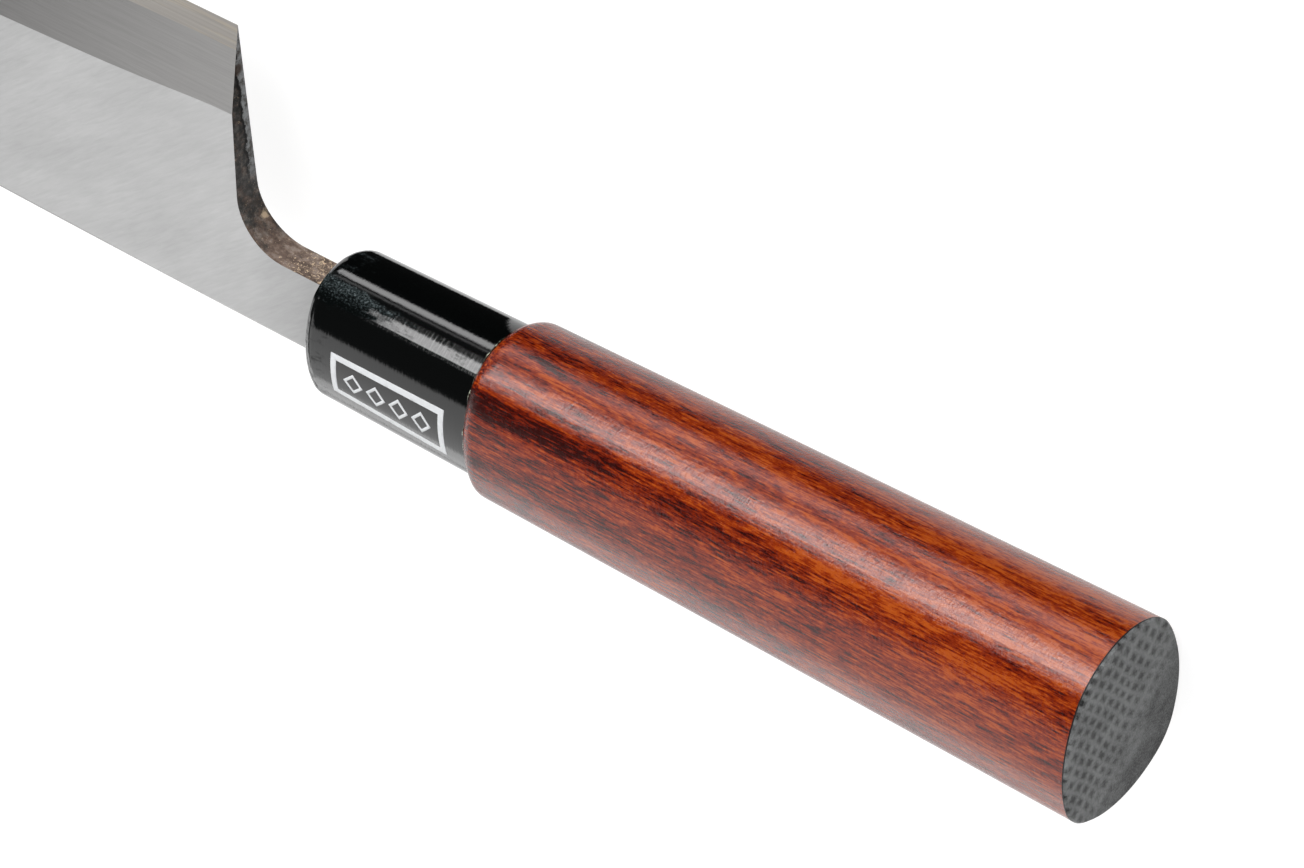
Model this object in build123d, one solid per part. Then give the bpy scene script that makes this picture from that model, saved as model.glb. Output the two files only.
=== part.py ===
from build123d import *
import os
from math import asin, cos, radians, sin, sqrt, tan

# Deba kitchen knife for the right hand: a blade forged from soft iron and hard steel, ground to one bevel,
# with its hidden tang bedded in an oval wooden handle behind a moulded ferrule.
#
# Lengths are in millimetres and angles in degrees. The knife lies on its flat back: X runs from the tip to
# the butt, Y from the spine to the edge, and Z out of the bevelled face. It is drawn about the handle's axis,
# with X at zero on the ferrule's mouth. At the end it is moved to put the origin under the middle of the knife.

# Handle
handle_length = 125.0  # ferrule's mouth to butt
butt_half_height = 13.8
butt_half_width = 12.0
corner_height_share = 0.72  # where the oval's bowed sides meet, before their corners are rounded
corner_width_share = 0.78
corner_rounding_share = 0.67
slimming_share = 0.065  # how much slimmer the handle is along its edge side
grip_draft = 0.86  # the grip's taper down to the ferrule

# Ferrule
ferrule_length = 28.6
ferrule_draft = 0.8
ferrule_wall = 1.9  # at its end against the wood
ferrule_front_wall = 3.2
mouth_rounding = 2.4
slot_clearance = 0.15

# Wooden grip
shoulder_step = 1.5  # how far the wood stands out from the ferrule
shoulder_rounding = 3.0
tenon_clearance = 0.1
tenon_chamfer = 0.8
socket_gap = 0.7  # bedding between tang and wood
glue_pool = 0.8  # bedding between tenon and ferrule's front wall

# Sealed butt
seal_thickness = 0.5
rim_chamfer = 0.3

# Blade seen from the side
blade_length = 152.0  # heel to tip
blade_height = 44.7  # spine to heel corner
spine_height = 6.2  # handle's axis to spine
neck_length = 16.8  # ferrule's mouth to heel corner
neck_height = 11.9
heel_lean = 1.8
heel_radius = 7.75
spine_run = 95.0  # heel to where the spine starts to fall
spine_fall = 6.0  # spine to tip
edge_run = 85.0  # how far the edge leaves the heel almost straight
tip_run = 42.0  # how far the edge leaves the tip almost straight
tip_angle = 52.0
spine_rounding = 0.4

# Blade seen from the spine
back_depth = 2.8  # handle's axis to flat back
neck_thickness = 5.6
tip_thickness = 2.5  # spine line carried on to the tip
face_angle = 4.5  # right face's fall from spine to edge
heel_bevel_angle = 13.6
tip_bevel_angle = 9.5
bevel_easing = 3  # how soon the angle falls from the heel's to the tip's
bevel_stations = 11

# Hollow in the back
wheel_radius = 450.0
back_rim = 3.2
heel_rim = 4.5
hollow_end_shares = (0.35, 0.75, 0.95)  # width of the hollow's first sections over the full width
hollow_end_run = 5.0  # between those sections
hollow_stations = 7
tip_rim = 12.0

# Hard steel layer
edge_steel_thickness = 0.75  # along the edge
spine_steel_thickness = 1.7  # along the spine
steel_start = 9.0  # ferrule's mouth to hard steel

# Tang
tang_length = 92.0
tang_end_height = 5.0
tang_end_thickness = 2.6

# Cuts run past what they cut
overrun = 1.0

spine_y = -spine_height
neck_y = spine_y + neck_height
edge_y = spine_y + blade_height
back_z = -back_depth
face_z = back_z + neck_thickness
heel_x = -neck_length
tip = Vector(heel_x - blade_length, spine_y + spine_fall)
heel_corner = Vector(heel_x, edge_y)
collar_inset = (handle_length - ferrule_length) * tan(radians(grip_draft)) + shoulder_step
bore_inset = collar_inset + ferrule_wall
tenon_inset = bore_inset + tenon_clearance
tenon_x = ferrule_front_wall + glue_pool
seal_x = handle_length - seal_thickness


def oval(x, inset):
    """Face across the handle, smaller than the butt by an inset: four bowed sides with rounded corners."""
    half_height = butt_half_height - inset
    half_width = butt_half_width - inset
    corner_y = corner_height_share * half_height
    spine_z = corner_width_share * half_width * (1 + slimming_share)
    edge_z = corner_width_share * half_width * (1 - slimming_share)
    corners = [(-corner_y, spine_z), (corner_y, edge_z), (corner_y, -edge_z), (-corner_y, -spine_z)]
    middles = [(-half_height, 0), (0, half_width), (half_height, 0), (0, -half_width)]
    face = make_face([ThreePointArc(corners[side - 1], middles[side], corners[side]) for side in range(4)])
    return Plane.YZ.offset(x) * fillet(face.vertices(), corner_rounding_share * half_width)


def front_rim(solid):
    """The edges round a solid's front end."""
    return solid.edges().group_by(Axis.X)[0]


def around_tang(x, gap):
    """Section of the tang's taper at x, or of the space round it if a gap is given."""
    share = x / tang_length
    low = Vector(spine_y, back_z) * (1 - share) - Vector(tang_end_height, tang_end_thickness) * share / 2
    high = Vector(neck_y, face_z) * (1 - share) + Vector(tang_end_height, tang_end_thickness) * share / 2
    face_fall = (high.X - low.X) * tan(radians(face_angle))
    corners = [
        (low.X - gap, low.Y - gap),
        (high.X + gap, low.Y - gap),
        (high.X + gap, high.Y - face_fall + gap),
        (low.X - gap, high.Y + gap),
    ]
    return Plane.YZ.offset(x) * make_face(Polyline(*corners, close=True))


def edge_curve():
    """The cutting edge seen from the side: nearly straight from the heel, then a belly up to the tip."""
    tip_way = Vector(cos(radians(tip_angle)), sin(radians(tip_angle)))
    return Bezier(heel_corner, heel_corner - Vector(edge_run, 0), tip + tip_way * tip_run, tip)


def spine_curve():
    """The spine from where it starts to fall to the tip."""
    return TangentArc(Vector(heel_x - spine_run, spine_y), tip, tangent=(-1, 0))


def spine_at(x):
    """The spine's Y at x."""
    reach = max(heel_x - spine_run - x, 0)
    run = blade_length - spine_run
    radius = (run ** 2 + spine_fall ** 2) / (2 * spine_fall)
    return spine_y + radius - sqrt(radius ** 2 - reach ** 2)


def edge_stations():
    """Points along the edge with the way in to the blade and the bevel's angle there."""
    curve = edge_curve()
    stations = []
    for step in range(bevel_stations):
        share = step / (bevel_stations - 1)
        along = curve % share
        inwards = Vector(-along.Y, along.X)
        angle = tip_bevel_angle + (heel_bevel_angle - tip_bevel_angle) * (1 - share) ** bevel_easing
        stations.append((curve @ share, inwards, angle))
    first, last = stations[0], stations[-1]
    before = (first[0] - (curve % 0) * 2 * overrun, first[1], first[2])
    after = (last[0] + (curve % 1) * 3 * overrun, last[1], last[2])
    return [before] + stations + [after]


def bevel_cutter():
    """Everything outside the bevel: triangles across the edge, lofted from heel to tip."""
    sections = []
    for point, inwards, angle in edge_stations():
        slope = tan(radians(angle))
        low = point - inwards * overrun / slope
        high = point + inwards * neck_thickness / slope
        corners = [
            (low.X, low.Y, back_z - overrun),
            (high.X, high.Y, back_z + neck_thickness),
            (low.X, low.Y, back_z + neck_thickness),
        ]
        sections.append(make_face(Polyline(*corners, close=True)))
    return loft(sections)


def side_outline():
    """Blade and neck seen from the side, standing out past the edge for the bevel to cut."""
    rim = [point - inwards * overrun for point, inwards, angle in edge_stations()[2:-1]]
    heel_rise = edge_y + overrun - neck_y
    lean = tan(radians(heel_lean))
    heel_top = Vector(heel_x - overrun * lean, edge_y + overrun)
    heel_foot = Vector(heel_top.X + heel_rise * lean, neck_y)
    fall = spine_curve()
    past_tip = tip + (fall % 1) * overrun
    lower = Polyline(
        (heel_x - spine_run, spine_y),
        (0, spine_y),
        (0, neck_y),
        heel_foot,
        heel_top,
    )
    belly = Spline(heel_top, *rim)
    closing = Polyline(rim[-1], past_tip, tip)
    outline = make_face(lower + belly + closing + fall)
    corner = outline.vertices().sort_by_distance(heel_foot)[0]
    return fillet(corner, heel_radius)


def right_face_block():
    """Everything under the right face, which thins on a long curve towards the tip and falls to the edge."""
    depth = back_z - overrun
    start = Vector(overrun, face_z)
    end = Vector(tip.X - overrun, back_z + tip_thickness)
    shape = TangentArc(start, end, tangent=(-1, 0)) + Polyline(end, (end.X, depth), (start.X, depth), start)
    plane = Plane(origin=(0, spine_y, 0), x_dir=(1, 0, 0), z_dir=(0, -1, 0))
    fall = Vector(0, cos(radians(face_angle)), -sin(radians(face_angle)))
    return extrude(plane * make_face(shape), blade_height + 4 * overrun, dir=fall, both=True)


def edge_at(x):
    """The edge's Y at x."""
    return edge_curve().intersect(Line((x, spine_y), (x, edge_y + overrun)))[0].Y


def hollow_cutter():
    """The shallow hollow in the back: arcs of one wheel, as wide as the rims leave, lofted along the blade."""
    hollow_x = heel_x - heel_rim
    places = [(hollow_x - hollow_end_run * step, share) for step, share in enumerate(hollow_end_shares)]
    full_x = hollow_x - hollow_end_run * len(hollow_end_shares)
    full_run = full_x - tip.X - tip_rim
    places += [(full_x - full_run * step / hollow_stations, 1) for step in range(hollow_stations + 1)]
    sections = []
    for x, share in places:
        high = edge_at(x) - back_rim
        low = spine_at(x) + back_rim
        middle = (high + low) / 2
        half_width = share * (high - low) / 2
        depth = wheel_radius - sqrt(wheel_radius ** 2 - half_width ** 2)
        arc = ThreePointArc((middle - half_width, back_z), (middle, back_z + depth), (middle + half_width, back_z))
        base = Polyline(
            (middle + half_width, back_z),
            (middle + half_width, back_z - overrun),
            (middle - half_width, back_z - overrun),
            (middle - half_width, back_z),
        )
        sections.append(Plane.YZ.offset(x) * make_face(arc + base))
    return loft(sections)


def is_beside_spine(edge):
    """True for the edges between the spine and the right face."""
    middle = edge.center()
    is_long = edge.length > neck_thickness
    return is_long and middle.Z > 0 and abs(middle.Y - spine_at(middle.X)) < spine_rounding


def whole_blade():
    """Blade, neck and tang in one, before they are parted into soft iron and hard steel."""
    plate = Pos(0, 0, back_z) * extrude(side_outline(), neck_thickness)
    blank = plate & right_face_block()
    blank = fillet(blank.edges().filter_by(is_beside_spine), spine_rounding)
    tang = loft([around_tang(0, 0), around_tang(tang_length, 0)])
    return blank - bevel_cutter() - hollow_cutter() + tang


def hard_layer_block():
    """The space of the hard steel: a thin wedge on the blade's back that ends in the neck."""
    shape = Polyline(
        (spine_y - overrun, back_z - overrun),
        (edge_y + overrun, back_z - overrun),
        (edge_y + overrun, back_z + edge_steel_thickness),
        (spine_y - overrun, back_z + spine_steel_thickness),
        close=True,
    )
    length = neck_length + blade_length + overrun - steel_start
    return extrude(Plane.YZ.offset(-steel_start) * make_face(shape), -length)


def ferrule():
    """Moulded cup: a rounded front wall with the tang's slot, and an open collar for the wood."""
    body = extrude(oval(ferrule_length, collar_inset), -ferrule_length, taper=ferrule_draft)
    body = fillet(front_rim(body), mouth_rounding)
    bore = extrude(oval(ferrule_front_wall, bore_inset), ferrule_length)
    slot = loft([around_tang(-overrun, slot_clearance), around_tang(ferrule_front_wall + overrun, slot_clearance)])
    return body - bore - slot


def turned_grip():
    """Wood and butt coat in one: rounded at the shoulder, where the ferrule hides the start of the rounding."""
    hidden = shoulder_rounding * (1 - cos(asin(1 - shoulder_step / shoulder_rounding)))
    body = extrude(oval(handle_length, 0), ferrule_length - hidden - handle_length, taper=grip_draft)
    body = fillet(front_rim(body), shoulder_rounding)
    body = chamfer(body.edges().group_by(Axis.X)[-1], rim_chamfer)
    return split(body, Plane.YZ.offset(ferrule_length), keep=Keep.TOP)


def tang_socket():
    """The tapered hole down the grip, open at the tenon's end."""
    return loft([around_tang(ferrule_front_wall, socket_gap), around_tang(tang_length + socket_gap, socket_gap)])


def grip(turned):
    """Turned and sanded wood: its shoulder, a tenon for the ferrule and the burnt-in socket for the tang."""
    wood = split(turned, Plane.YZ.offset(seal_x), keep=Keep.BOTTOM)
    tenon = extrude(oval(ferrule_length + overrun, tenon_inset), tenon_x - ferrule_length - overrun)
    tenon = chamfer(front_rim(tenon), tenon_chamfer)
    return wood + tenon - tang_socket()


def butt_seal(turned):
    """The dark coat that closes the end grain and wraps the butt's rim."""
    return split(turned, Plane.YZ.offset(seal_x), keep=Keep.TOP)


def tang_bedding(tang, wood):
    """Resin that fills the socket round the tang and the cup's bottom in front of the tenon."""
    pool = extrude(oval(ferrule_front_wall, bore_inset), glue_pool + tenon_chamfer)
    return (pool + tang_socket() - wood) - tang


whole = whole_blade()
hard_layer = hard_layer_block()
turned = turned_grip()
wood = grip(turned)
knife = {
    "blade_body": whole - hard_layer,
    "edge_steel": whole & hard_layer,
    "ferrule": ferrule(),
    "handle_grip": wood,
    "tang_bedding": tang_bedding(whole, wood),
    "butt_seal": butt_seal(turned),
}

# The origin goes under the middle of the knife
box = Compound([solid for part in knife.values() for solid in part.solids()]).bounding_box()
to_origin = Pos(-box.center().X, -box.center().Y, -box.min.Z)

os.makedirs("parts", exist_ok=True)
for name, part in knife.items():
    export_step(to_origin * part, f"parts/{name}.step")

places = {
    "blade_back": Vector(heel_x - spine_run, spine_y + back_rim / 2, back_z),
    "butt_end": Vector(handle_length, 0, 0),
    "mouth": Vector(0, 0, 0),
}
for name, place in places.items():
    at = (to_origin * Pos(place)).position
    print(f"{name} at {at.X:.3f}, {at.Y:.3f}, {at.Z:.3f} mm")
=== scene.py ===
"""Deba kitchen knife: the finishes of its steels, ferrule, wood and butt, its printed border and its bead of
glue, and the table and light that it is seen in."""

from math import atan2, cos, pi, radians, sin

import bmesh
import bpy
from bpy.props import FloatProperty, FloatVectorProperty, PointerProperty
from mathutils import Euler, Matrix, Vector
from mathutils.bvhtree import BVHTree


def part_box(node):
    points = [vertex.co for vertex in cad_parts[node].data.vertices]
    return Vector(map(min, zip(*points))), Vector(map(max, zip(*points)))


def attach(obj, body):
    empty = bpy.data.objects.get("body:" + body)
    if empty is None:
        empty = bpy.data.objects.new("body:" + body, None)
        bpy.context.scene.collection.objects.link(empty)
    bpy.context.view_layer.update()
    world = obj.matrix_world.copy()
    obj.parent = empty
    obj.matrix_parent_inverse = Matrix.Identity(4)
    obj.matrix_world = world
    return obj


bl_info = {
    "name": "Deba knife",
    "version": (1, 0, 0),
    "blender": (4, 5, 0),
    "location": "3D View > Sidebar > Deba knife",
    "description": "Finishes a deba knife and lays it on a white table",
    "category": "Object",
}

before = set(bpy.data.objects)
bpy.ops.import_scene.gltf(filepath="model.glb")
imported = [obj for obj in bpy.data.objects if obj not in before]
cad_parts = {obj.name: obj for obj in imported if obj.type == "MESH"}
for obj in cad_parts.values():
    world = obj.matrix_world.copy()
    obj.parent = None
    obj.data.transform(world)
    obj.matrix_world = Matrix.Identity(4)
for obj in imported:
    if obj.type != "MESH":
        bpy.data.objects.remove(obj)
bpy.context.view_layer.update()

MM = 0.001
FERRULE_LOW, FERRULE_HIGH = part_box("ferrule")

# The ferrule's mouth on the handle's axis. The finishes, the print and the camera are placed from it.
MOUTH = Vector((
    FERRULE_LOW.x, (FERRULE_LOW.y + FERRULE_HIGH.y) / 2, (FERRULE_LOW.z + FERRULE_HIGH.z) / 2,
))

# Turns Y to the side of the handle that faces up and toward the edge, and Z across it
EDGE_SIDE = (radians(40), 0, 0)

# The part of the noise's range that a tone is spread over
NOISE_LOW, NOISE_HIGH = 0.3, 0.7

SATIN = 0.36  # roughness of the ground steels
MARK_DEPTH = 0.02 * MM  # of their grinding marks
CRUST_DEPTH = 0.15 * MM  # of the pits in the forge scale
MOULD_DEPTH = 0.03 * MM  # of the ferrule's scuffs
SANDING_DEPTH = 0.07 * MM  # of the wood's sanding lines and fibres
SAW_DEPTH = 0.1 * MM  # of the saw marks on the butt

# Each softbox's place, the point that it faces and its size, in metres
SOFTBOXES = {
    "overhead": ((-0.3, -1.5, 0.75), (-0.3, -1.5, 0), (1.9, 2.7)),
    "strip": ((-0.613, 0.876, 0.575), (0, 0, 0), (1.6, 0.33)),
    "side": ((-0.15, 0.87, 0.55), (-0.15, 0, 0), (0.8, 0.7)),
    "low": ((-0.71, -1.05, 0.27), (0, 0, 0), (1.8, 0.35)),
    "fill": ((1.35, 0.4, 0.3), (0, 0, 0), (0.8, 0.5)),
}

# Each card's two corners and its height in mm, and its glow
CARDS = {
    "dark_card": ((-130, 5), (230, 410), 0.1, 0.015),
    "ferrule_card": ((8, -5), (43, 5), 0.1, 0.015),
    "light_card": ((-40, 38), (180, 102), 0.2, 5),
}


def linear(hex_colour):
    """Turns an sRGB hex value into a linear colour with alpha."""
    channels = []
    for start in (0, 2, 4):
        value = int(hex_colour[start:start + 2], 16) / 255
        channels.append(value / 12.92 if value <= 0.04045 else ((value + 0.055) / 1.055) ** 2.4)
    return (*channels, 1.0)


def colour_setting(name, hex_colour, description):
    """A colour that the panel shows."""
    return FloatVectorProperty(
        name=name, description=description, subtype="COLOR", size=4, min=0, max=1, default=linear(hex_colour),
    )


def size_setting(name, millimetres, description):
    """A length that the panel shows."""
    return FloatProperty(
        name=name, description=description, default=millimetres * MM, min=0, unit="LENGTH",
        subtype="DISTANCE",
    )


def power_setting(name, watts, description):
    """A lamp's power that the panel shows."""
    return FloatProperty(name=name, description=description, default=watts, min=0, unit="POWER")


class BladeLooks(bpy.types.PropertyGroup):
    """Colours of the two steels."""

    face: colour_setting("Right face", "A8A8A8", "Polished soft iron above the bevel")
    bevel: colour_setting("Bevel", "8E8D8C", "Ground soft iron of the bevel")
    edge: colour_setting("Edge steel", "9C9893", "Hard steel along the edge")
    weld: colour_setting("Weld lines", "B2A796", "Thin lines where the two steels are welded")
    scale: colour_setting("Forge scale", "3A3836", "Heel, neck and spine as they left the fire")
    scale_dark: colour_setting("Dark scale", "242322", "Pits and burnt edges of the scale")
    scale_pale: colour_setting("Worn scale", "605D59", "Scale that has worn to grey")
    scale_blue: colour_setting("Blue scale", "B2B5B7", "Scale on the hard steel at the heel")
    crack: colour_setting("Crack", "0A0908", "Inside of the crack along the weld on the heel")
    rust_dark: colour_setting("Dark rust", "4B3D34", "Deep parts of the rust")
    rust: colour_setting("Rust", "6D594D", "Brown bloom on the neck")
    rust_pale: colour_setting("Pale rust", "928277", "Dry tops of the rust")
    speck: colour_setting("Specks", "CDB698", "Pale specks on the neck")


class HandleLooks(bpy.types.PropertyGroup):
    """Colours and sizes of the handle."""

    plastic: colour_setting("Ferrule", "020303", "Moulded black plastic")
    haze_dark: colour_setting("Thin haze", "060808", "Dust on the ferrule where it is thinnest")
    haze: colour_setting("Haze", "2A3031", "Dust on the ferrule where hands rub it")
    haze_pale: colour_setting("Thick haze", "5C6466", "Specks of dust on the ferrule")
    wood_dark: colour_setting("Dark grain", "2A0402", "Darkest grain of the wood")
    wood_deep: colour_setting("Deep grain", "480A02", "Deep red-brown grain")
    wood_mid: colour_setting("Wood", "6C1C04", "Body colour of the wood")
    wood_light: colour_setting("Light grain", "842C05", "Orange grain")
    wood_pale: colour_setting("Pale grain", "A04713", "Lightest fibres")
    coat: colour_setting("Butt coat", "181919", "Dark coat on the end grain")
    coat_light: colour_setting("Butt coat ridges", "9A9C9C", "Worn ridges of the coat")
    coat_rim: colour_setting("Butt coat rim", "030303", "Thick coat round the rim")
    resin_dark: colour_setting("Dark resin", "3A342A", "Deep parts of the bedding")
    resin_pale: colour_setting("Pale resin", "7D745F", "Cloudy parts of the bedding")
    glue_dark: colour_setting("Dark glue", "0C0C0A", "Crumbs in the bead of glue")
    glue: colour_setting("Glue", "4E4F44", "Clear glue")
    glue_pale: colour_setting("Pale glue", "B9BCA8", "Milky glue")
    ink: colour_setting("Print", "CED0D2", "White ink of the printed border")
    print_length: size_setting("Print length", 19.4, "Outer length of the printed border")
    print_width: size_setting("Print width", 7.2, "Outer width of the printed border")
    print_border: size_setting("Border width", 0.95, "Width of the border's lines")
    bead: size_setting("Glue bead", 0.28, "Size of the bead of glue between ferrule and wood")


class StageLooks(bpy.types.PropertyGroup):
    """The table, the lights and the camera."""

    table: colour_setting("Table", "909090", "Matt board under the knife, before its glow")
    table_glow: FloatProperty(
        name="Table glow", description="What lifts the table to white in the camera and in gloss",
        default=0.87, min=0,
    )
    overhead: power_setting("Overhead softbox", 22, "The wide softbox over the back of the table")
    strip: power_setting("Strip light", 11.5, "The strip on the side of the edge")
    side: power_setting("Side softbox", 9.5, "The softbox beside the strip, toward the butt")
    low: power_setting("Low light", 4.2, "The low light on the side of the spine")
    fill: power_setting("Fill light", 5, "The fill light beyond the butt")
    room: FloatProperty(name="Room light", description="Light from all round", default=0.06, min=0)
    camera_place: FloatVectorProperty(
        name="Camera", description="From the ferrule's mouth to the camera", size=3, unit="LENGTH",
        subtype="TRANSLATION", default=(395.37 * MM, 478.01 * MM, 405.12 * MM),
    )
    camera_turn: FloatVectorProperty(
        name="Camera turn", description="The camera's rotation", size=3, unit="ROTATION", subtype="EULER",
        default=(radians(-42.918), radians(38.761), radians(-2.121)),
    )
    focal_length: FloatProperty(
        name="Focal length", description="Lens on a frame 36 mm wide, in mm", default=155.83, min=1,
    )


def add_node(tree, kind, inputs=None, stops=None, **settings):
    """Adds a node, sets its properties and colour stops, and fills its inputs with values or links."""
    node = tree.nodes.new(kind)
    for name, value in settings.items():
        setattr(node, name, value)
    for name, value in (inputs or {}).items():
        socket = node.inputs[name]
        if isinstance(value, bpy.types.NodeSocket):
            tree.links.new(value, socket)
        else:
            socket.default_value = value
    if stops:
        elements = node.color_ramp.elements
        while len(elements) < len(stops):
            elements.new(1)
        for element, (position, colour) in zip(elements, stops):
            element.position = position
            element.color = colour
    return node


def new_material(name):
    """An empty material, with its tree and its places in mm from the ferrule's mouth."""
    material = bpy.data.materials.new(name)
    material.use_nodes = True
    tree = material.node_tree
    tree.nodes.clear()
    place = add_node(tree, "ShaderNodeTexCoord")
    at = add_node(tree, "ShaderNodeMapping", {
        "Vector": place.outputs["Object"], "Location": MOUTH, "Scale": (MM, MM, MM),
    }, vector_type="TEXTURE")
    return material, tree, at.outputs["Vector"]


def facing(tree):
    """The way that the surface faces, as X, Y and Z."""
    place = add_node(tree, "ShaderNodeTexCoord")
    return add_node(tree, "ShaderNodeSeparateXYZ", {"Vector": place.outputs["Normal"]}).outputs


def levelness(tree):
    """1 where the surface lies flat, falling to 0 where it is upright."""
    return add_node(tree, "ShaderNodeMath", {0: facing(tree)["Z"]}, operation="ABSOLUTE").outputs["Value"]


def grain(tree, at, cell, turn=(0, 0, 0), seed=0, detail=3, roughness=0.55, distortion=0):
    """Noise whose cells measure so many mm along X, Y and Z, turned if asked."""
    cells = add_node(tree, "ShaderNodeMapping", {
        "Vector": at, "Location": (seed, seed, seed), "Rotation": turn, "Scale": cell,
    }, vector_type="TEXTURE")
    noise = add_node(tree, "ShaderNodeTexNoise", {
        "Vector": cells.outputs["Vector"], "Scale": 1.0, "Detail": detail, "Roughness": roughness,
        "Distortion": distortion,
    })
    return noise.outputs["Fac"]


def rusty_scale(tree, at, place, patches, looks):
    """Burnt scale, with rust that blooms on the neck and pale specks by the ferrule."""
    crust = add_node(tree, "ShaderNodeValToRGB", {"Fac": patches}, stops=[
        (0.36, looks.scale_dark), (0.5, looks.scale), (0.66, looks.scale_pale),
    ])
    # The rust comes in spots of 2 to 4 mm, and more of them toward the ferrule
    bloom = grain(tree, at, (3.5, 1.6, 1.6), seed=33, detail=5, roughness=0.7)
    by_neck = add_node(tree, "ShaderNodeMapRange", {
        "Value": place["X"], "From Min": -16.5, "From Max": -11.0, "To Min": -0.08, "To Max": 0.16,
    })
    rust_level = add_node(tree, "ShaderNodeMath", {0: bloom, 1: by_neck.outputs["Result"]}, operation="ADD")
    rust_share = add_node(tree, "ShaderNodeMapRange", {
        "Value": rust_level.outputs["Value"], "From Min": 0.42, "From Max": 0.62, "To Max": 0.85,
    })
    rust = add_node(tree, "ShaderNodeValToRGB", {"Fac": patches}, stops=[
        (0.36, looks.rust_dark), (0.5, looks.rust), (0.66, looks.rust_pale),
    ])
    skin = add_node(tree, "ShaderNodeMix", {
        0: rust_share.outputs["Result"], 6: crust.outputs["Color"], 7: rust.outputs["Color"],
    }, data_type="RGBA")
    # The specks are worm-like and 0.3 mm wide
    worms = grain(tree, at, (1.0, 0.6, 0.6), seed=43, detail=2, distortion=2.5)
    by_ferrule = add_node(tree, "ShaderNodeMapRange", {
        "Value": place["X"], "From Min": -10.0, "From Max": -6.0, "To Min": -0.1, "To Max": 0.02,
    })
    speck_level = add_node(tree, "ShaderNodeMath", {
        0: worms, 1: by_ferrule.outputs["Result"],
    }, operation="ADD")
    speck_share = add_node(tree, "ShaderNodeMapRange", {
        "Value": speck_level.outputs["Value"], "From Min": 0.58, "From Max": 0.64, "To Max": 0.85,
    })
    skin = add_node(tree, "ShaderNodeMix", {
        0: speck_share.outputs["Result"], 6: skin.outputs[2], 7: looks.speck,
    }, data_type="RGBA")
    return skin.outputs[2]


def cracked_weld(tree, at, place, patches, skin, looks):
    """Puts on the heel a crack that wanders along the weld, 0.5 mm wide, and behind it the bluer scale of the
    hard steel. Gives the colour, and where the crack is."""
    wander = grain(tree, at, (1.6, 1.6, 1.6), seed=55, detail=4, roughness=0.6)
    level = add_node(tree, "ShaderNodeMath", {0: wander, 1: 2.0, 2: place["Z"]}, operation="MULTIPLY_ADD")
    on_heel = add_node(tree, "ShaderNodeMapRange", {"Value": place["Y"], "From Min": 13.0, "From Max": 17.0})
    behind = add_node(tree, "ShaderNodeMapRange", {
        "Value": level.outputs["Value"], "From Min": -0.75, "From Max": -0.6, "To Min": 0.85, "To Max": 0.0,
    })
    blue_share = add_node(tree, "ShaderNodeMath", {
        0: behind.outputs["Result"], 1: on_heel.outputs["Result"],
    }, operation="MULTIPLY")
    blue = add_node(tree, "ShaderNodeValToRGB", {"Fac": patches}, stops=[
        (0.38, looks.scale_pale), (0.56, looks.scale_blue),
    ])
    skin = add_node(tree, "ShaderNodeMix", {
        0: blue_share.outputs["Value"], 6: skin, 7: blue.outputs["Color"],
    }, data_type="RGBA")
    from_crack = add_node(tree, "ShaderNodeMath", {0: level.outputs["Value"], 1: 0.55}, operation="ADD")
    off_crack = add_node(tree, "ShaderNodeMath", {0: from_crack.outputs["Value"]}, operation="ABSOLUTE")
    crack = add_node(tree, "ShaderNodeMapRange", {
        "Value": off_crack.outputs["Value"], "From Min": 0.15, "From Max": 0.3, "To Min": 0.95, "To Max": 0.0,
    })
    crack_share = add_node(tree, "ShaderNodeMath", {
        0: crack.outputs["Result"], 1: on_heel.outputs["Result"],
    }, operation="MULTIPLY")
    skin = add_node(tree, "ShaderNodeMix", {
        0: crack_share.outputs["Value"], 6: skin.outputs[2], 7: looks.crack,
    }, data_type="RGBA")
    return skin.outputs[2], crack_share.outputs["Value"]


def forge_crust(tree, at, looks):
    """Forge scale, burnt grey-brown in patches 1 to 2 mm wide with pits. It is rusty toward the neck, and
    cracked along the weld on the heel."""
    place = add_node(tree, "ShaderNodeSeparateXYZ", {"Vector": at}).outputs
    patches = grain(tree, at, (1.6, 1.0, 1.0), seed=21, detail=5, roughness=0.7)
    skin = rusty_scale(tree, at, place, patches, looks)
    skin, crack = cracked_weld(tree, at, place, patches, skin, looks)
    # A pale chip in the crook of the neck, a nick beside the crack and a red-brown spot near the edge
    for centre, reach, colour in (
        ((-14.5, 8.9, -2.1), 0.7, looks.speck), ((-16.3, 23.2, -0.1), 0.4, looks.scale_pale),
        ((-16.6, 32.0, -1.8), 1.0, looks.rust_dark),
    ):
        away = add_node(tree, "ShaderNodeVectorMath", {0: at, 1: centre}, operation="DISTANCE")
        ragged = add_node(tree, "ShaderNodeMath", {
            0: patches, 1: -2.0, 2: away.outputs["Value"],
        }, operation="MULTIPLY_ADD")
        spot = add_node(tree, "ShaderNodeMapRange", {
            "Value": ragged.outputs["Value"], "From Min": reach - 1.4, "From Max": reach - 1,
            "To Min": 0.9, "To Max": 0.0,
        })
        skin = add_node(tree, "ShaderNodeMix", {
            0: spot.outputs["Result"], 6: skin, 7: colour,
        }, data_type="RGBA").outputs[2]
    pits = add_node(tree, "ShaderNodeBump", {"Height": patches, "Strength": 0.8, "Distance": CRUST_DEPTH})
    dented = add_node(tree, "ShaderNodeBump", {
        "Height": crack, "Strength": 1.0, "Distance": CRUST_DEPTH, "Normal": pits.outputs["Normal"],
    }, invert=True)
    crust = add_node(tree, "ShaderNodeBsdfPrincipled", {
        "Base Color": skin, "Metallic": 0.2, "Roughness": 0.55, "Normal": dented.outputs["Normal"],
    })
    return crust.outputs["BSDF"]


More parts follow.
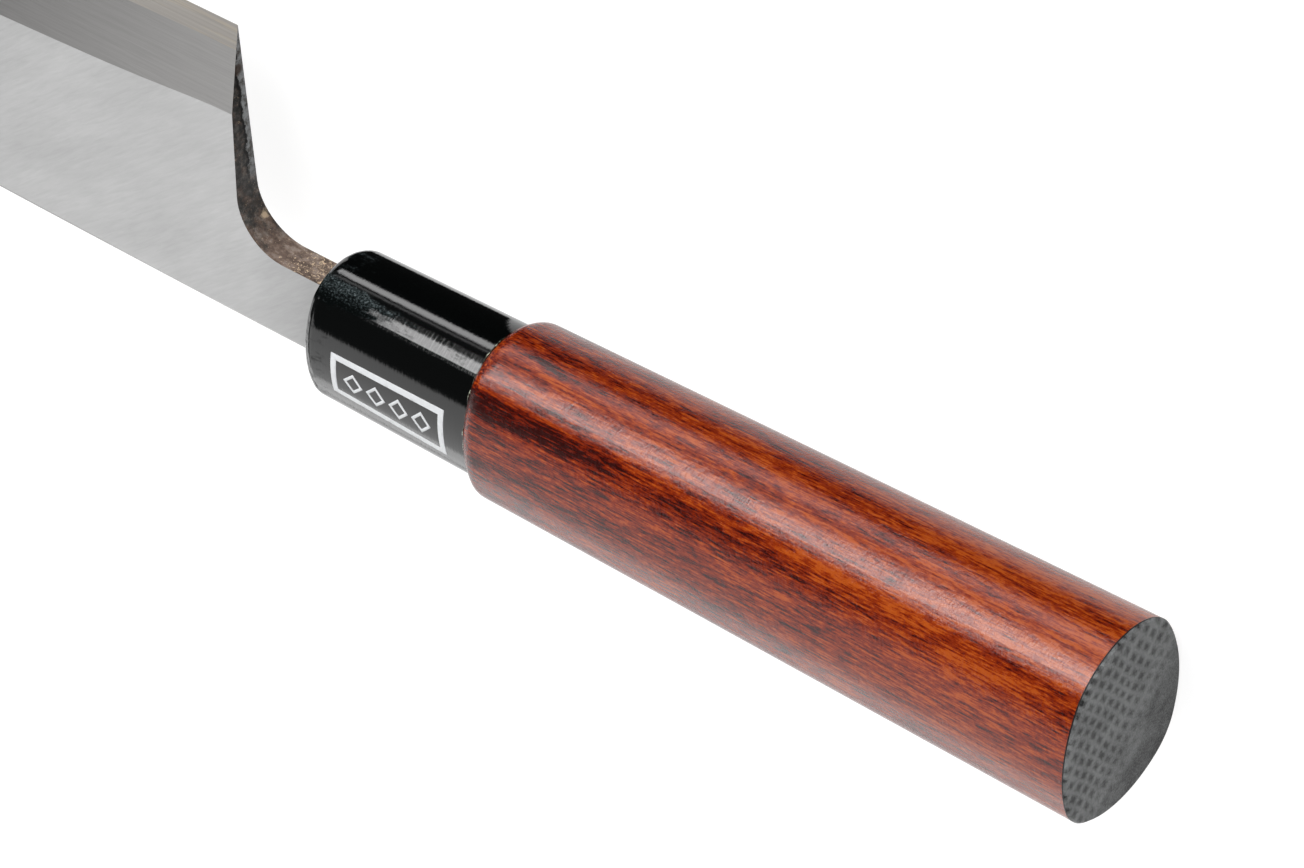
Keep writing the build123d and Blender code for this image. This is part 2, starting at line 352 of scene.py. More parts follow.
def satin_steel(tree, at, level, colour, marks, looks):
    """Gives a material ground steel with its marks, and forge scale on the sides, which were never ground."""
    bump = add_node(tree, "ShaderNodeBump", {"Height": marks, "Strength": 0.3, "Distance": MARK_DEPTH})
    steel = add_node(tree, "ShaderNodeBsdfPrincipled", {
        "Base Color": colour, "Metallic": 1.0, "Roughness": SATIN, "Normal": bump.outputs["Normal"],
    })
    # A side stands steeper than 53 to 60 degrees
    on_side = add_node(tree, "ShaderNodeMapRange", {
        "Value": level, "From Min": 0.5, "From Max": 0.6, "To Min": 1.0, "To Max": 0.0,
    })
    both = add_node(tree, "ShaderNodeMixShader", {
        0: on_side.outputs["Result"], 1: steel.outputs["BSDF"], 2: forge_crust(tree, at, looks),
    })
    add_node(tree, "ShaderNodeOutputMaterial", {"Surface": both.outputs["Shader"]})


def ground_iron(looks):
    """Soft iron, forged: the right face is polished satin, the bevel is ground along the edge, and the heel,
    the neck and the spine keep the dark scale of the fire with some rust."""
    material, tree, at = new_material("Satin ground soft iron")
    place = add_node(tree, "ShaderNodeSeparateXYZ", {"Vector": at}).outputs
    level = levelness(tree)

    # Faint short polishing strokes cross the right face at about 38 degrees, drawn 0.5 mm apart
    strokes = grain(
        tree, at, (5, 0.5, 4), turn=(0, 0, radians(38)), seed=3, detail=5, roughness=0.7, distortion=0.3,
    )
    stroke_tone = add_node(tree, "ShaderNodeMapRange", {
        "Value": strokes, "From Min": NOISE_LOW, "From Max": NOISE_HIGH, "To Min": 0.92, "To Max": 1.06,
    })
    clouds = grain(tree, at, (22, 8, 8), turn=(0, 0, radians(30)), seed=11, detail=4, roughness=0.6)
    cloud_tone = add_node(tree, "ShaderNodeMapRange", {
        "Value": clouds, "From Min": 0.35, "From Max": 0.65, "To Min": 0.95, "To Max": 1.05,
    })
    # Painted shade: the right face is darkened in the last 10 mm before the ferrule, standing in for the
    # ferrule's shade and dark reflection there
    painted_ferrule_shade = add_node(tree, "ShaderNodeMapRange", {
        "Value": place["X"], "From Min": -14.0, "From Max": -3.0, "To Min": 1.03, "To Max": 0.78,
    })
    face = looks.face
    for tone in (stroke_tone, cloud_tone, painted_ferrule_shade):
        face = add_node(tree, "ShaderNodeMix", {
            0: 1.0, 6: face, 7: tone.outputs["Result"],
        }, data_type="RGBA", blend_type="MULTIPLY").outputs[2]

    # The bevel's grinding lines run along the edge, drawn 0.3 mm apart, and a painted light gradient makes
    # the bevel lighter toward the heel
    lines = grain(tree, at, (12, 0.3, 0.3), seed=5, detail=5, roughness=0.65)
    line_tone = add_node(tree, "ShaderNodeMapRange", {
        "Value": lines, "From Min": NOISE_LOW, "From Max": NOISE_HIGH, "To Min": 0.92, "To Max": 1.08,
    })
    painted_heel_light = add_node(tree, "ShaderNodeMapRange", {
        "Value": place["X"], "From Min": -60.0, "From Max": -16.0, "To Min": 0.64, "To Max": 1.16,
    })
    # The bevel's tone carries both its grinding lines and the painted light gradient
    bevel_lines_and_light = add_node(tree, "ShaderNodeMath", {
        0: line_tone.outputs["Result"], 1: painted_heel_light.outputs["Result"],
    }, operation="MULTIPLY")
    bevel = add_node(tree, "ShaderNodeMix", {
        0: 1.0, 6: looks.bevel, 7: bevel_lines_and_light.outputs["Value"],
    }, data_type="RGBA", blend_type="MULTIPLY")

    # The bevel tilts 9 to 14 degrees, and the right face 4 to 5
    on_bevel = add_node(tree, "ShaderNodeMapRange", {
        "Value": level, "From Min": 0.990, "From Max": 0.998, "To Min": 1.0, "To Max": 0.0,
    }, interpolation_type="SMOOTHSTEP").outputs["Result"]
    colour = add_node(tree, "ShaderNodeMix", {0: on_bevel, 6: face, 7: bevel.outputs[2]}, data_type="RGBA")
    marks = add_node(tree, "ShaderNodeMix", {0: on_bevel, 2: strokes, 3: lines})
    satin_steel(tree, at, level, colour.outputs[2], marks.outputs[0], looks)
    return material


def edge_steel(looks):
    """Hard steel, ground: a slightly warmer grey than the iron, with thin lines of the weld beside it."""
    material, tree, at = new_material("Fine ground hard steel")
    lines = grain(tree, at, (30, 0.3, 0.3), seed=15, detail=4)
    tone = add_node(tree, "ShaderNodeMapRange", {
        "Value": lines, "From Min": NOISE_LOW, "From Max": NOISE_HIGH, "To Min": 0.9, "To Max": 1.1,
    })
    colour = add_node(tree, "ShaderNodeMix", {
        0: 1.0, 6: looks.edge, 7: tone.outputs["Result"],
    }, data_type="RGBA", blend_type="MULTIPLY")
    # Yellowish weld lines, 0.4 mm wide and about 10 mm long
    welds = grain(tree, at, (10, 0.4, 0.4), seed=52, detail=3)
    weld_share = add_node(tree, "ShaderNodeMapRange", {
        "Value": welds, "From Min": 0.52, "From Max": 0.66, "To Max": 0.5,
    })
    colour = add_node(tree, "ShaderNodeMix", {
        0: weld_share.outputs["Result"], 6: colour.outputs[2], 7: looks.weld,
    }, data_type="RGBA")
    satin_steel(tree, at, levelness(tree), colour.outputs[2], lines, looks)
    return material


def moulded_plastic(looks):
    """Black ABS from a polished mould: a sharp gloss, with fine scuffs and a dusty haze where hands rub its
    front."""
    material, tree, at = new_material("Moulded gloss ABS")
    turned = add_node(tree, "ShaderNodeMapping", {"Vector": at, "Rotation": EDGE_SIDE}, vector_type="TEXTURE")
    side = add_node(tree, "ShaderNodeSeparateXYZ", {"Vector": turned.outputs["Vector"]}).outputs
    # The haze is specks of 0.25 mm in a band 4 mm wide, mostly on the front half of the ferrule
    dust = grain(tree, at, (0.35, 0.25, 0.25), seed=61, detail=3, roughness=0.8)
    wander = grain(tree, at, (3, 1.2, 1.2), seed=62, detail=4, roughness=0.75)
    near_mouth = add_node(tree, "ShaderNodeMapRange", {
        "Value": side["X"], "From Min": 4.0, "From Max": 16.0, "To Min": 0.35, "To Max": -0.3,
    })
    off_band = add_node(tree, "ShaderNodeMath", {0: side["Z"], 1: 2.3}, operation="ADD")
    away = add_node(tree, "ShaderNodeMath", {0: off_band.outputs["Value"]}, operation="ABSOLUTE")
    in_band = add_node(tree, "ShaderNodeMapRange", {
        "Value": away.outputs["Value"], "From Min": 1.0, "From Max": 2.2, "To Min": 0.1, "To Max": -0.5,
    })
    reach = add_node(tree, "ShaderNodeMath", {0: wander, 1: near_mouth.outputs["Result"]}, operation="ADD")
    reach = add_node(tree, "ShaderNodeMath", {
        0: reach.outputs["Value"], 1: in_band.outputs["Result"],
    }, operation="ADD")
    hazy = add_node(tree, "ShaderNodeMapRange", {
        "Value": reach.outputs["Value"], "From Min": 0.36, "From Max": 0.66,
    })
    # It is thick on the edge side and thins out to matt black toward the spine
    thin = add_node(tree, "ShaderNodeMapRange", {
        "Value": side["Z"], "From Min": -3.2, "From Max": -0.8, "To Min": 0.02, "To Max": -0.18,
    })
    thickness = add_node(tree, "ShaderNodeMath", {0: dust, 1: thin.outputs["Result"]}, operation="ADD")
    grey = add_node(tree, "ShaderNodeValToRGB", {"Fac": thickness.outputs["Value"]}, stops=[
        (0.4, looks.haze_dark), (0.55, looks.haze), (0.7, looks.haze_pale),
    ])
    haze = add_node(tree, "ShaderNodeBsdfPrincipled", {
        "Base Color": grey.outputs["Color"], "Roughness": 0.9, "Specular IOR Level": 0.0,
    })
    scuffs = grain(tree, at, (0.3, 2.4, 2.4), seed=71, detail=4)
    bump = add_node(tree, "ShaderNodeBump", {"Height": scuffs, "Strength": 0.6, "Distance": MOULD_DEPTH})
    plastic = add_node(tree, "ShaderNodeBsdfPrincipled", {
        "Base Color": looks.plastic, "Roughness": 0.07, "IOR": 1.54, "Normal": bump.outputs["Normal"],
    })
    both = add_node(tree, "ShaderNodeMixShader", {
        0: hazy.outputs["Result"], 1: plastic.outputs["BSDF"], 2: haze.outputs["BSDF"],
    })
    add_node(tree, "ShaderNodeOutputMaterial", {"Surface": both.outputs["Shader"]})
    return material


def lacquered_wood(looks):
    """Rosewood, turned, sanded round and lacquered thin: red-brown with dark smudges, short fibres and orange
    parts, under a satin gloss that the sanding lines break up."""
    material, tree, at = new_material("Lacquered rosewood")
    turned = add_node(tree, "ShaderNodeMapping", {"Vector": at, "Rotation": EDGE_SIDE}, vector_type="TEXTURE")
    side = add_node(tree, "ShaderNodeSeparateXYZ", {"Vector": turned.outputs["Vector"]}).outputs
    # Smudges 3 mm wide and 16 mm long, bands 0.8 mm wide, fibres 0.3 mm wide and 3.5 mm long, and flecks
    smudges = grain(tree, at, (16, 3, 3), seed=2, detail=3, distortion=0.5)
    bands = grain(tree, at, (6, 0.8, 0.8), seed=7, detail=4, roughness=0.65, distortion=0.4)
    fibres = grain(tree, at, (3.5, 0.3, 0.3), seed=13, detail=3, roughness=0.7)
    flecks = grain(tree, at, (0.9, 0.35, 0.35), seed=17, detail=3, roughness=0.8)
    # The wood turns more orange toward the butt
    by_butt = add_node(tree, "ShaderNodeMapRange", {
        "Value": side["X"], "From Min": 25.0, "From Max": 110.0, "To Min": -0.03, "To Max": 0.06,
    })
    # On the side that faces up and toward the edge, a dark streak 3 mm wide runs from ferrule to middle
    off_streak = add_node(tree, "ShaderNodeMath", {0: side["Z"], 1: 1.9}, operation="SUBTRACT")
    away = add_node(tree, "ShaderNodeMath", {0: off_streak.outputs["Value"]}, operation="ABSOLUTE")
    streak = add_node(tree, "ShaderNodeMapRange", {
        "Value": away.outputs["Value"], "From Min": 0.3, "From Max": 2.0, "To Min": -0.14, "To Max": 0.0,
    }, interpolation_type="SMOOTHSTEP")
    fading = add_node(tree, "ShaderNodeMapRange", {
        "Value": side["X"], "From Min": 45.0, "From Max": 78.0, "To Min": 1.0, "To Max": 0.0,
    })
    tone = add_node(tree, "ShaderNodeMath", {
        0: streak.outputs["Result"], 1: fading.outputs["Result"], 2: by_butt.outputs["Result"],
    }, operation="MULTIPLY_ADD")
    # Painted shade: toward the spine, the side that the lights reach less, the wood is a little darker
    painted_spine_shade = add_node(tree, "ShaderNodeMapRange", {
        "Value": side["Z"], "From Min": 0.0, "From Max": 6.0, "To Min": 0.0, "To Max": -0.05,
    })
    tone = add_node(tree, "ShaderNodeMath", {
        0: tone.outputs["Value"], 1: painted_spine_shade.outputs["Result"],
    }, operation="ADD")
    for pattern, weight in ((smudges, 0.36), (bands, 0.4), (fibres, 0.9), (flecks, 0.42)):
        tone = add_node(tree, "ShaderNodeMath", {
            0: pattern, 1: weight, 2: tone.outputs["Value"],
        }, operation="MULTIPLY_ADD")
    share = add_node(tree, "ShaderNodeMapRange", {
        "Value": tone.outputs["Value"], "From Min": 0.86, "From Max": 1.19,
    })
    colour = add_node(tree, "ShaderNodeValToRGB", {"Fac": share.outputs["Result"]}, stops=[
        (0.0, looks.wood_dark), (0.22, looks.wood_deep), (0.45, looks.wood_mid), (0.72, looks.wood_light),
        (1.0, looks.wood_pale),
    ])
    # Sanding lines run round the grip, drawn 0.3 mm apart
    sanding = grain(tree, at, (0.3, 1.0, 1.0), seed=23, detail=3, roughness=0.7)
    relief = add_node(tree, "ShaderNodeMath", {0: fibres, 1: 0.25, 2: sanding}, operation="MULTIPLY_ADD")
    bump = add_node(tree, "ShaderNodeBump", {
        "Height": relief.outputs["Value"], "Strength": 1.0, "Distance": SANDING_DEPTH,
    })
    roughness = add_node(tree, "ShaderNodeMapRange", {
        "Value": sanding, "From Min": 0.36, "From Max": 0.64, "To Min": 0.26, "To Max": 0.11,
    })
    wood = add_node(tree, "ShaderNodeBsdfPrincipled", {
        "Base Color": colour.outputs["Color"], "Roughness": roughness.outputs["Result"], "IOR": 1.5,
        "Specular IOR Level": 0.38, "Normal": bump.outputs["Normal"],
    })
    add_node(tree, "ShaderNodeOutputMaterial", {"Surface": wood.outputs["BSDF"]})
    return material


def saw_marks(tree, at, spacing, rise, seed):
    """Uneven parallel marks on the end grain, so many mm apart and rising so many degrees from the flat."""
    cells = add_node(tree, "ShaderNodeMapping", {
        "Vector": at, "Location": (seed, seed, seed), "Rotation": (radians(rise), 0, 0),
        "Scale": (spacing, spacing, spacing),
    }, vector_type="TEXTURE")
    # At this scale one wave is one cell
    wave = add_node(tree, "ShaderNodeTexWave", {
        "Vector": cells.outputs["Vector"], "Scale": pi / 10, "Distortion": 4.5, "Detail": 3,
        "Detail Scale": 0.5,
    }, bands_direction="Z")
    return wave.outputs["Fac"]


def butt_coat(looks):
    """Dark lacquer brushed over sawn end grain: the marks of saw and rasp show through as a grey cross-hatch,
    and the rim is nearly black."""
    material, tree, at = new_material("Brushed lacquer on end grain")
    # One set of marks rises 42 degrees, 1.6 mm apart, and the other falls 45 degrees, 2.3 mm apart
    rows = saw_marks(tree, at, 1.6, 42, seed=4)
    columns = saw_marks(tree, at, 2.3, -45, seed=9)
    marks = add_node(tree, "ShaderNodeMath", {0: rows, 1: columns}, operation="MAXIMUM")
    # They fade toward the table and the spine, where the coat is thick, and further on the end is darker:
    # painted shade where the rim turns away from the light
    across = add_node(tree, "ShaderNodeMapping", {
        "Vector": at, "Rotation": (radians(-130), 0, 0),
    }, vector_type="TEXTURE")
    side = add_node(tree, "ShaderNodeSeparateXYZ", {"Vector": across.outputs["Vector"]}).outputs
    thick = add_node(tree, "ShaderNodeMapRange", {"Value": side["Y"], "From Min": -1.0, "From Max": 8.0})
    marks = add_node(tree, "ShaderNodeMix", {
        0: thick.outputs["Result"], 2: marks.outputs["Value"], 3: 0.66,
    })
    dark = add_node(tree, "ShaderNodeMapRange", {
        "Value": side["Y"], "From Min": 5.0, "From Max": 12.0, "To Min": 0.0, "To Max": -0.5,
    })
    # Pores of 0.3 mm and blotches of 3 mm break the hatch up
    pores = grain(tree, at, (0.3, 0.3, 0.3), seed=14, detail=2, roughness=0.7)
    blotches = grain(tree, at, (3, 3, 3), seed=19, detail=3)
    hatch = add_node(tree, "ShaderNodeMath", {
        0: pores, 1: 1.8, 2: marks.outputs[0],
    }, operation="MULTIPLY_ADD")
    tone = add_node(tree, "ShaderNodeMath", {
        0: blotches, 1: 1.6, 2: hatch.outputs["Value"],
    }, operation="MULTIPLY_ADD")
    tone = add_node(tree, "ShaderNodeMath", {
        # Adds the painted shade toward the table and the spine
        0: tone.outputs["Value"], 1: dark.outputs["Result"],
    }, operation="ADD")
    share = add_node(tree, "ShaderNodeMapRange", {
        "Value": tone.outputs["Value"], "From Min": 1.75, "From Max": 3.25,
    })
    end = add_node(tree, "ShaderNodeMix", {
        0: share.outputs["Result"], 6: looks.coat, 7: looks.coat_light,
    }, data_type="RGBA")
    on_end = add_node(tree, "ShaderNodeMapRange", {
        "Value": facing(tree)["X"], "From Min": 0.4, "From Max": 0.6,
    })
    colour = add_node(tree, "ShaderNodeMix", {
        0: on_end.outputs["Result"], 6: looks.coat_rim, 7: end.outputs[2],
    }, data_type="RGBA")
    bump = add_node(tree, "ShaderNodeBump", {
        "Height": hatch.outputs["Value"], "Strength": 0.5, "Distance": SAW_DEPTH,
    })
    coat = add_node(tree, "ShaderNodeBsdfPrincipled", {
        "Base Color": colour.outputs[2], "Roughness": 0.5, "IOR": 1.5, "Specular IOR Level": 0.25,
        "Normal": bump.outputs["Normal"],
    })
    add_node(tree, "ShaderNodeOutputMaterial", {"Surface": coat.outputs["BSDF"]})
    return material


def cast_epoxy(looks):
    """Epoxy poured round the tang: amber grey, cloudy from stirring, with a smooth cast skin."""
    material, tree, at = new_material("Cast epoxy")
    clouds = grain(tree, at, (2, 2, 2), seed=31, detail=4)
    colour = add_node(tree, "ShaderNodeValToRGB", {"Fac": clouds}, stops=[
        (0.35, looks.resin_dark), (0.65, looks.resin_pale),
    ])
    resin = add_node(tree, "ShaderNodeBsdfPrincipled", {
        "Base Color": colour.outputs["Color"], "Roughness": 0.3, "IOR": 1.55,
    })
    add_node(tree, "ShaderNodeOutputMaterial", {"Surface": resin.outputs["BSDF"]})
    return material


def printed_ink(looks):
    """Screen-printed white ink: opaque, and a little less glossy than the plastic."""
    material, tree, at = new_material("White screen ink")
    wear = grain(tree, at, (0.8, 0.8, 0.8), seed=81, detail=4)
    tone = add_node(tree, "ShaderNodeMapRange", {
        "Value": wear, "From Min": NOISE_LOW, "From Max": NOISE_HIGH, "To Min": 0.9, "To Max": 1.0,
    })
    colour = add_node(tree, "ShaderNodeMix", {
        0: 1.0, 6: looks.ink, 7: tone.outputs["Result"],
    }, data_type="RGBA", blend_type="MULTIPLY")
    ink = add_node(tree, "ShaderNodeBsdfPrincipled", {"Base Color": colour.outputs[2], "Roughness": 0.35})
    add_node(tree, "ShaderNodeOutputMaterial", {"Surface": ink.outputs["BSDF"]})
    return material


def dried_glue(looks):
    """Dried epoxy, clear to milky, with dust and dark crumbs in it."""
    material, tree, at = new_material("Dried epoxy")
    crumbs = grain(tree, at, (0.5, 0.5, 0.5), seed=91, detail=3)
    colour = add_node(tree, "ShaderNodeValToRGB", {"Fac": crumbs}, stops=[
        (0.4, looks.glue_dark), (0.55, looks.glue), (0.68, looks.glue_pale),
    ])
    glue = add_node(tree, "ShaderNodeBsdfPrincipled", {
        "Base Color": colour.outputs["Color"], "Roughness": 0.25, "IOR": 1.5,
    })
    add_node(tree, "ShaderNodeOutputMaterial", {"Surface": glue.outputs["BSDF"]})
    return material


def dress(node, material):
    """Puts a material on a CAD node."""
    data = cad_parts[node].data
    data.materials.clear()
    data.materials.append(material)


def skin_of(node):
    """A node's surface, to lay pieces on."""
    return BVHTree.FromObject(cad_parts[node], bpy.context.evaluated_depsgraph_get())


def add_piece(name, mesh, material):
    """Makes a bmesh a smooth piece that rides with the knife."""
    data = bpy.data.meshes.new(name)
    mesh.to_mesh(data)
    mesh.free()
    data.shade_smooth()
    data.materials.append(material)
    piece = bpy.data.objects.new(name, data)
    bpy.context.scene.collection.objects.link(piece)
    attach(piece, "root")


def add_outline(mesh, middle, length, width, turn, line):
    """A flat rectangular line in the XY plane: a rectangle, inset, without its middle."""
    outer = Matrix.Diagonal((length, width, 1, 1))
    place = Matrix.Translation(middle) @ Matrix.Rotation(turn, 4, "Z") @ outer
    corners = bmesh.ops.create_grid(mesh, x_segments=1, y_segments=1, size=0.5, matrix=place)["verts"]
    mesh.normal_update()
    face = corners[0].link_faces[0]
    bmesh.ops.inset_region(mesh, faces=[face], thickness=line, use_boundary=True, use_even_offset=True)
    bmesh.ops.delete(mesh, geom=[face], context="FACES")


def printed_border(skin, looks):
    """A plain printed border with a row of lozenges, laid on the ferrule's right side."""
    mesh = bmesh.new()
    centre = MOUTH + Vector((15.4, -0.9, 0)) * MM
    add_outline(mesh, centre, looks.print_length, looks.print_width, 0, looks.print_border)
    lozenge, lozenge_line, apart, count = 2.4 * MM, 0.42 * MM, 3.9 * MM, 4
    for step in range(count):
        middle = centre + Vector((apart * (step - (count - 1) / 2), 0, 0))
        add_outline(mesh, middle, lozenge, lozenge, pi / 4, lozenge_line)
    # The print is cut fine enough to bend with the ferrule: each round halves the edges over this length
    longest, rounds = 0.5 * MM, 5
    for _ in range(rounds):
        long_edges = [edge for edge in mesh.edges if edge.calc_length() > longest]
        bmesh.ops.subdivide_edges(mesh, edges=long_edges, cuts=1)
        bmesh.ops.triangulate(mesh, faces=mesh.faces)
    # It is laid on from above, and gets wider toward the wood as the cup does
    widening, slant, above, lift, thickness = 0.09, 0.18 * MM, 50 * MM, 0.02 * MM, 0.015 * MM
    for vert in mesh.verts:
        share = (vert.co.x - centre.x) / (looks.print_length / 2)
        vert.co.y += share * (widening * (vert.co.y - centre.y) - slant)
        foot = skin.ray_cast(vert.co + Vector((0, 0, above)), Vector((0, 0, -1)))[0]
        vert.co = foot + Vector((0, 0, lift))
    bmesh.ops.recalc_face_normals(mesh, faces=mesh.faces)
    bmesh.ops.solidify(mesh, geom=mesh.faces[:], thickness=thickness)
    return mesh


def glue_bead(skin, looks):
    """The thin uneven bead of glue pressed out of the joint between ferrule and wood: a quarter round that
    rises from the ferrule up to the joint."""
    mesh = bmesh.new()
    across = Matrix.Rotation(pi / 2, 4, "Y")
    ring = bmesh.ops.create_circle(mesh, segments=144, radius=1, matrix=across)["verts"]
    ways = [vert.co.normalized() for vert in ring]
    rows = [ring]
    steps = 3
    for _ in range(steps):
        edges = [edge for edge in mesh.edges if all(vert in rows[-1] for vert in edge.verts)]
        grown = bmesh.ops.extrude_edge_only(mesh, edges=edges)["geom"]
        fresh = [item for item in grown if isinstance(item, bmesh.types.BMVert)]
        rows.append([min(fresh, key=lambda vert: (vert.co - old.co).length) for old in rows[-1]])
    # Its foot is found on the ferrule just in front of the joint, and sinks a little into it
    before, outside, sink, thinnest = 0.3 * MM, 50 * MM, 0.02 * MM, 0.12
    for part, row in enumerate(rows):
        rise = pi / 2 / steps * part
        for vert, way in zip(row, ways):
            turn = atan2(way.z, way.y)
            swell = 0.55 + 0.45 * sin(7 * turn) * sin(3 * turn + 1) + 0.25 * sin(23 * turn)
            size = looks.bead * max(swell, thinnest)
            back = size * cos(rise)
            start = Vector((FERRULE_HIGH.x - before - back, MOUTH.y, MOUTH.z)) + way * outside
            foot = skin.ray_cast(start, -way)[0]
            vert.co = Vector((FERRULE_HIGH.x - back, foot.y, foot.z)) + way * (size * sin(rise) - sink)
    bmesh.ops.recalc_face_normals(mesh, faces=mesh.faces)
    return mesh


def add_sheet(name, low, high, height):
    """A flat rectangle at a height, from one corner to the other, and the tree of its empty material."""
    mesh = bmesh.new()
    size = Vector(high) - Vector(low)
    middle = (Vector(high) + Vector(low)) / 2
    place = Matrix.Translation((middle.x, middle.y, height)) @ Matrix.Diagonal((size.x, size.y, 1, 1))
    bmesh.ops.create_grid(mesh, x_segments=1, y_segments=1, size=0.5, matrix=place)
    data = bpy.data.meshes.new(name)
    mesh.to_mesh(data)
    mesh.free()
    material = bpy.data.materials.new(name)
    material.use_nodes = True
    material.node_tree.nodes.clear()
    data.materials.append(material)
    sheet = bpy.data.objects.new(name, data)
    bpy.context.scene.collection.objects.link(sheet)
    return sheet, material.node_tree


def add_table(looks):
    """A wide matt board. What the camera and gloss see of it is lifted to white, and it keeps its shadow."""
    reach, height = 4, -0.02 * MM
    table, tree = add_sheet("table", (-reach, -reach), (reach, reach), height)
    paint = add_node(tree, "ShaderNodeBsdfDiffuse", {"Color": looks.table})
    rays = add_node(tree, "ShaderNodeLightPath")
    seen = add_node(tree, "ShaderNodeMath", {
        0: rays.outputs["Is Camera Ray"], 1: rays.outputs["Is Glossy Ray"],
    }, operation="ADD")
    seen = add_node(tree, "ShaderNodeMath", {
        0: seen.outputs["Value"], 1: rays.outputs["Is Transmission Ray"],
    }, operation="ADD", use_clamp=True)
    strength = add_node(tree, "ShaderNodeMath", {
        0: seen.outputs["Value"], 1: looks.table_glow,
    }, operation="MULTIPLY")
    glow = add_node(tree, "ShaderNodeEmission", {"Strength": strength.outputs["Value"]})
    both = add_node(tree, "ShaderNodeAddShader", {0: paint.outputs["BSDF"], 1: glow.outputs["Emission"]})
    add_node(tree, "ShaderNodeOutputMaterial", {"Surface": both.outputs["Shader"]})


def add_card(name, low, high, height, strength):
    """A card beside the knife that shows only in its gloss, dark or light."""
    card, tree = add_sheet(name, Vector(low) * MM, Vector(high) * MM, height * MM)
    glow = add_node(tree, "ShaderNodeEmission", {"Strength": strength})
    add_node(tree, "ShaderNodeOutputMaterial", {"Surface": glow.outputs["Emission"]})
    card.visible_camera = card.visible_diffuse = card.visible_shadow = card.visible_transmission = False


def add_softbox(name, place, aim, size, power):
    """A rectangular softbox at a place, facing a point."""
    light = bpy.data.lights.new(name, "AREA")
    light.shape = "RECTANGLE"
    light.size, light.size_y = size
    light.energy = power
    lamp = bpy.data.objects.new(name, light)
    bpy.context.scene.collection.objects.link(lamp)
    lamp.location = place
    lamp.rotation_euler = (Vector(place) - Vector(aim)).to_track_quat("Z", "Y").to_euler()


def add_lights(looks):
    """A big softbox overhead, a strip and a softbox on the edge side, a low light on the spine side and a
    fill beyond the butt. Two dark cards keep the table's white out of the handle's gloss, and a light card
    puts a pale line there."""
    for name, (place, aim, size) in SOFTBOXES.items():
        add_softbox(name, place, aim, size, getattr(looks, name))
    for name, (low, high, height, strength) in CARDS.items():
        add_card(name, low, high, height, strength)
    world = bpy.data.worlds.new("studio")
    world.use_nodes = True
    background = world.node_tree.nodes["Background"]
    background.inputs["Color"].default_value = (1, 1, 1, 1)
    background.inputs["Strength"].default_value = looks.room
    bpy.context.scene.world = world


def add_camera(looks):
    """The camera, close to the photograph's long lens."""
    data = bpy.data.cameras.new("camera")
    data.sensor_fit = "HORIZONTAL"
    data.sensor_width = 36
    data.lens = looks.focal_length
    data.clip_start = 0.01
    camera = bpy.data.objects.new("camera", data)
    bpy.context.scene.collection.objects.link(camera)
    camera.location = MOUTH + Vector(looks.camera_place)
    camera.rotation_euler = Euler(looks.camera_turn)
    bpy.context.scene.camera = camera


class KNIFE_OT_blade(bpy.types.Operator):
    """Finish the soft iron and the hard steel of the blade"""

    bl_idname = "knife.blade"
    bl_label = "Blade"

    def execute(self, context):
        looks = context.scene.knife_blade
        dress("blade_body", ground_iron(looks))
        dress("edge_steel", edge_steel(looks))
        return {"FINISHED"}


class KNIFE_OT_handle(bpy.types.Operator):
    """Finish the ferrule, the wooden grip, the butt and the bedding"""

    bl_idname = "knife.handle"
    bl_label = "Handle"

    def execute(self, context):
        looks = context.scene.knife_handle
        dress("ferrule", moulded_plastic(looks))
        dress("handle_grip", lacquered_wood(looks))
        dress("butt_seal", butt_coat(looks))
        dress("tang_bedding", cast_epoxy(looks))
        return {"FINISHED"}


class KNIFE_OT_print(bpy.types.Operator):
    """Print the plain border on the ferrule"""

    bl_idname = "knife.print"
    bl_label = "Printed border"

    def execute(self, context):
        looks = context.scene.knife_handle
        mesh = printed_border(skin_of("ferrule"), looks)
        add_piece("printed_border", mesh, printed_ink(looks))
        return {"FINISHED"}


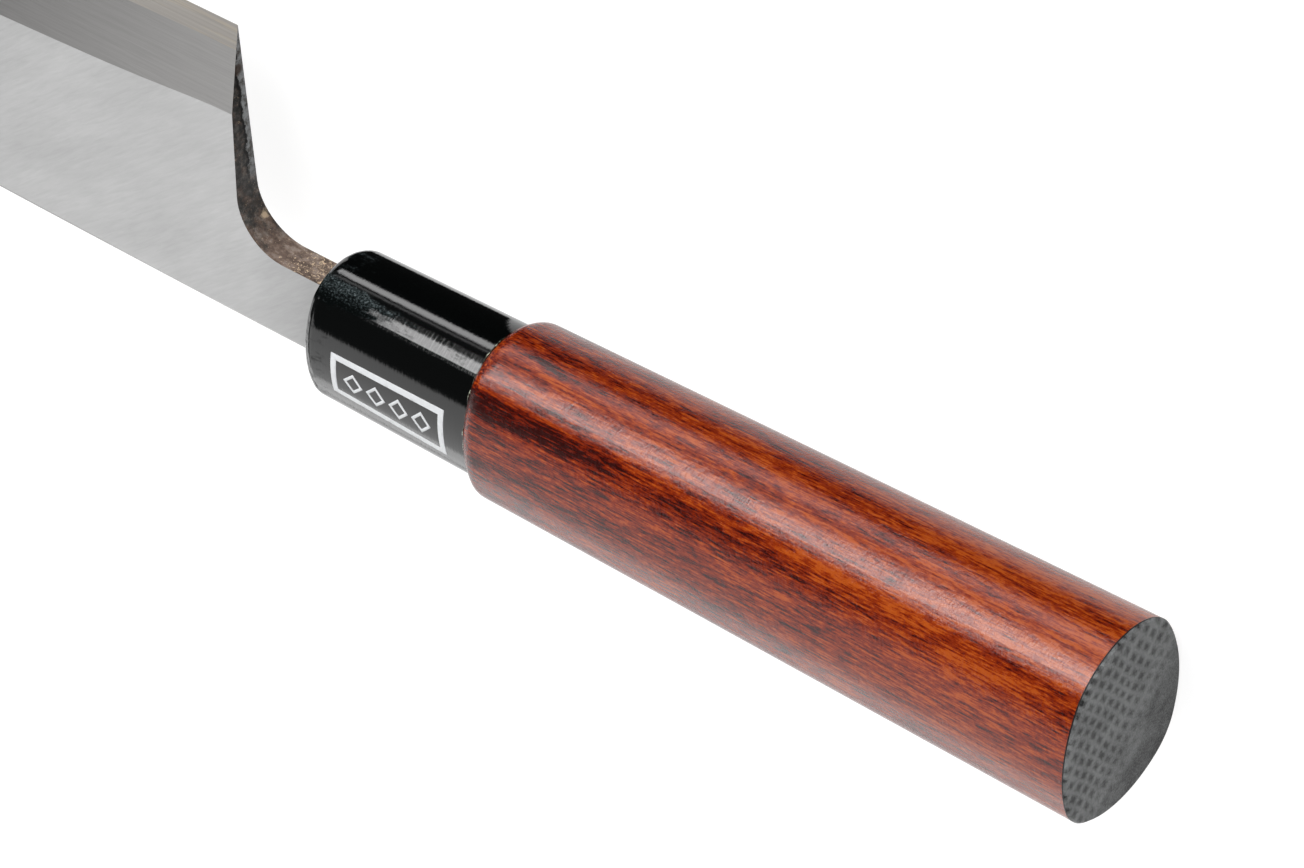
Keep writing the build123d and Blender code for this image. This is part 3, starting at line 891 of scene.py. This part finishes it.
class KNIFE_OT_glue(bpy.types.Operator):
    """Lay the bead of glue round the joint of ferrule and wood"""

    bl_idname = "knife.glue"
    bl_label = "Glue bead"

    def execute(self, context):
        looks = context.scene.knife_handle
        mesh = glue_bead(skin_of("ferrule"), looks)
        add_piece("glue_bead", mesh, dried_glue(looks))
        return {"FINISHED"}


class KNIFE_OT_stage(bpy.types.Operator):
    """Lay the table and place the lights and the camera"""

    bl_idname = "knife.stage"
    bl_label = "Table, lights and camera"

    def execute(self, context):
        looks = context.scene.knife_stage
        add_table(looks)
        add_lights(looks)
        add_camera(looks)
        return {"FINISHED"}


class KNIFE_PT_panel(bpy.types.Panel):
    """The knife's pieces and stage"""

    bl_idname = "KNIFE_PT_panel"
    bl_label = "Deba knife"
    bl_space_type = "VIEW_3D"
    bl_region_type = "UI"
    bl_category = "Deba knife"

    def draw(self, context):
        for operator in OPERATORS:
            self.layout.operator(operator.bl_idname)
        for group_name in GROUPS:
            group = getattr(context.scene, group_name)
            for name in group.bl_rna.properties.keys():
                if name not in ("name", "rna_type"):
                    self.layout.prop(group, name)


GROUPS = {"knife_blade": BladeLooks, "knife_handle": HandleLooks, "knife_stage": StageLooks}
OPERATORS = (KNIFE_OT_blade, KNIFE_OT_handle, KNIFE_OT_print, KNIFE_OT_glue, KNIFE_OT_stage)


def register():
    """Adds the settings, the operators and the panel to Blender."""
    for name, group in GROUPS.items():
        bpy.utils.register_class(group)
        setattr(bpy.types.Scene, name, PointerProperty(type=group))
    for operator in OPERATORS:
        bpy.utils.register_class(operator)
    bpy.utils.register_class(KNIFE_PT_panel)


def unregister():
    """Takes them out again."""
    bpy.utils.unregister_class(KNIFE_PT_panel)
    for operator in reversed(OPERATORS):
        bpy.utils.unregister_class(operator)
    for name, group in GROUPS.items():
        delattr(bpy.types.Scene, name)
        bpy.utils.unregister_class(group)


def main():
    """Finishes the knife and its stage."""
    register()
    bpy.ops.knife.blade()
    bpy.ops.knife.handle()
    bpy.ops.knife.print()
    bpy.ops.knife.glue()
    bpy.ops.knife.stage()
    bpy.context.scene.view_settings.view_transform = "Standard"


if __name__ == "__main__":
    main()
